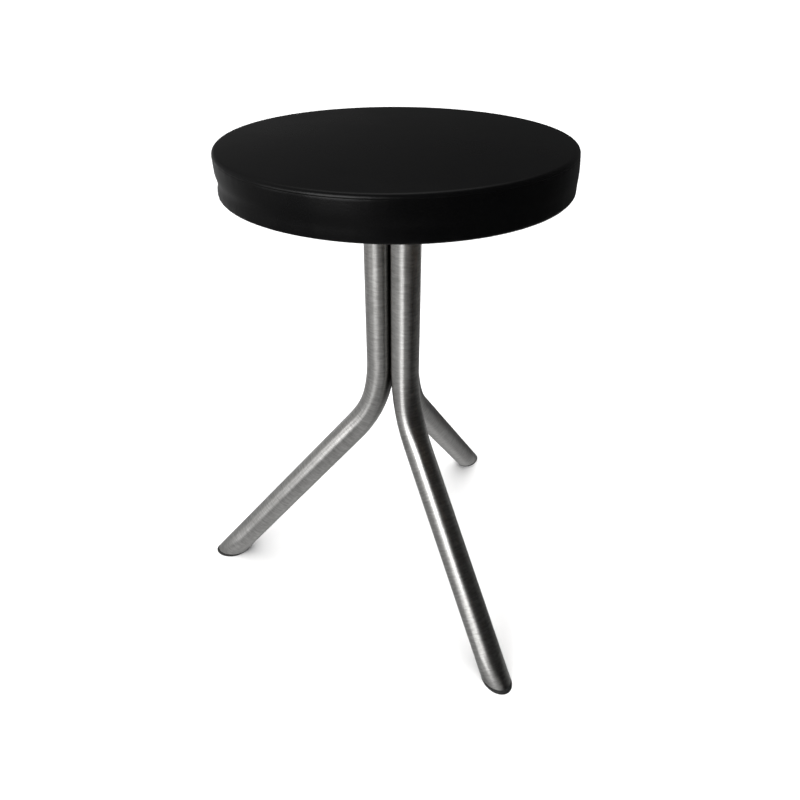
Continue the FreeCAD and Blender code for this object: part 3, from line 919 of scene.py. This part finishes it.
def towards(azimuth, elevation):
    """The direction from the stool to a place in the room, by angles in degrees."""
    a = math.radians(azimuth)
    e = math.radians(elevation)
    return Vector((math.sin(a) * math.cos(e), -math.cos(a) * math.cos(e), math.sin(e)))


def floor():
    """A pale floor that isn't seen in reflections."""
    material, tree, shader = new_material("floor")
    cloud = noise_of(tree, object_place(tree), 3.0, 2.0)
    colour = mixed(tree, cloud, (0.85, 0.85, 0.85), (0.87, 0.87, 0.87))
    tree.links.new(colour, shader.inputs["Base Color"])
    shader.inputs["Roughness"].default_value = 0.9
    shader.inputs["Specular IOR Level"].default_value = 0.0
    mesh = bpy.data.meshes.new("floor")
    corners = [(x * FLOOR_REACH, y * FLOOR_REACH, 0) for x, y in ((-1, -1), (1, -1), (1, 1), (-1, 1))]
    mesh.from_pydata(corners, [], [(0, 1, 2, 3)])
    mesh.materials.append(material)
    plane = bpy.data.objects.new("floor", mesh)
    plane.visible_glossy = False
    bpy.context.scene.collection.objects.link(plane)


def softbox(name, azimuth, elevation, width, height, radiance, distance=LIGHT_DISTANCE):
    """A soft light that faces the stool."""
    away = towards(azimuth, elevation)
    light = bpy.data.lights.new(name, "AREA")
    light.shape = "RECTANGLE"
    light.size = width
    light.size_y = height
    light.energy = radiance * math.pi * width * height
    holder = bpy.data.objects.new(name, light)
    holder.location = Vector((AXIS_X, 0, LIGHT_AIM)) + away * distance
    holder.rotation_euler = away.to_track_quat("Z", "Y").to_euler()
    holder.visible_camera = False
    bpy.context.scene.collection.objects.link(holder)
    return holder


def only_for(light, pieces):
    """Screens a light so that it falls on some pieces alone."""
    lit = bpy.data.collections.new(light.name + "_lit")
    for piece in pieces:
        lit.objects.link(piece)
    light.light_linking.receiver_collection = lit


def floor_bounce(pieces):
    """Light that the floor throws up at some pieces, from under the floor, which doesn't stop it."""
    light = softbox("bounce", -25, -35, 0.30, 0.28, 2.0, BOUNCE_DISTANCE)
    only_for(light, pieces)
    light.light_linking.blocker_collection = light.light_linking.receiver_collection


def overhead_light():
    """Broad soft light from above, the same all over the floor."""
    light = bpy.data.lights.new("overhead", "SUN")
    light.energy = OVERHEAD_STRENGTH
    light.angle = OVERHEAD_SPREAD
    holder = bpy.data.objects.new("overhead", light)
    holder.visible_glossy = False
    bpy.context.scene.collection.objects.link(holder)


def glow(tree, direction, azimuth, elevation, radiance, inner, outer):
    """A round patch of light in the surroundings, full inside one angle and gone at another."""
    facing = dot_product(tree, direction, towards(azimuth, elevation))
    full = math.cos(math.radians(inner))
    gone = math.cos(math.radians(outer))
    return ranged(tree, facing, 0.0, radiance, gone, full, smooth=True)


def room_light(tree):
    """Light of a dim room by direction: lighter on the left, faint behind, and with the patches."""
    direction = tree.nodes.new("ShaderNodeTexCoord").outputs["Generated"]
    parts = split(tree, direction)
    sides = ranged(tree, parts["X"], *ROOM_SIDES)
    level = ranged(tree, parts["Z"], *ROOM_LEVEL)
    front = ranged(tree, parts["Y"], *ROOM_FRONT)
    wall = ranged(tree, parts["Y"], *BACK_WALL)
    wall = calculated(tree, "MULTIPLY", wall, ranged(tree, parts["X"], *BACK_WALL_SIDES))
    lit = calculated(tree, "MULTIPLY", calculated(tree, "MULTIPLY", sides, level), front)
    lit = calculated(tree, "ADD", lit, wall)
    for patch in GLOWS:
        lit = calculated(tree, "ADD", lit, glow(tree, direction, *patch))
    return lit


def surroundings():
    """A white backdrop for the eye, and a dim room for what lights the stool and shows in it."""
    world = bpy.data.worlds.new("surroundings")
    bpy.context.scene.world = world
    world.use_nodes = True
    tree = world.node_tree
    tree.nodes.clear()
    room = tree.nodes.new("ShaderNodeBackground")
    tree.links.new(room_light(tree), room.inputs["Strength"])
    backdrop = tree.nodes.new("ShaderNodeBackground")
    backdrop.inputs["Color"].default_value = (1, 1, 1, 1)
    path = tree.nodes.new("ShaderNodeLightPath")
    mix = tree.nodes.new("ShaderNodeMixShader")
    output = tree.nodes.new("ShaderNodeOutputWorld")
    tree.links.new(path.outputs["Is Camera Ray"], mix.inputs["Fac"])
    tree.links.new(room.outputs[0], mix.inputs[1])
    tree.links.new(backdrop.outputs[0], mix.inputs[2])
    tree.links.new(mix.outputs[0], output.inputs["Surface"])


def camera():
    data = bpy.data.cameras.new("camera")
    data.lens = CAMERA_LENS
    data.sensor_width = CAMERA_SENSOR
    view = Matrix.Rotation(math.pi / 2 - CAMERA_DOWN, 4, "X") @ Matrix.Rotation(CAMERA_ROLL, 4, "Z")
    holder = bpy.data.objects.new("camera", data)
    holder.matrix_world = Matrix.Translation(CAMERA_PLACE) @ view
    bpy.context.scene.collection.objects.link(holder)
    bpy.context.scene.camera = holder


floor()
surroundings()
overhead_light()
softbox("key", -34, 18, 0.70, 0.90, 5.6)
softbox("fill", -70, 11, 0.36, 0.55, 2.2)
only_for(softbox("edge", -34, 20, 1.3, 0.25, 4.5), [top_panel])
only_for(softbox("back", -152, 22, 0.7, 0.8, 4.0), [*legs.values(), side_band])
only_for(softbox("on_rear_leg", 38, 0, 0.5, 0.6, 4.0), [legs["rear"]])
only_for(softbox("on_front_leg", 142, 0, 0.5, 0.6, 3.0), [legs["front"]])
floor_bounce([legs["front"]])
camera()
bpy.context.scene.view_settings.view_transform = "Standard"
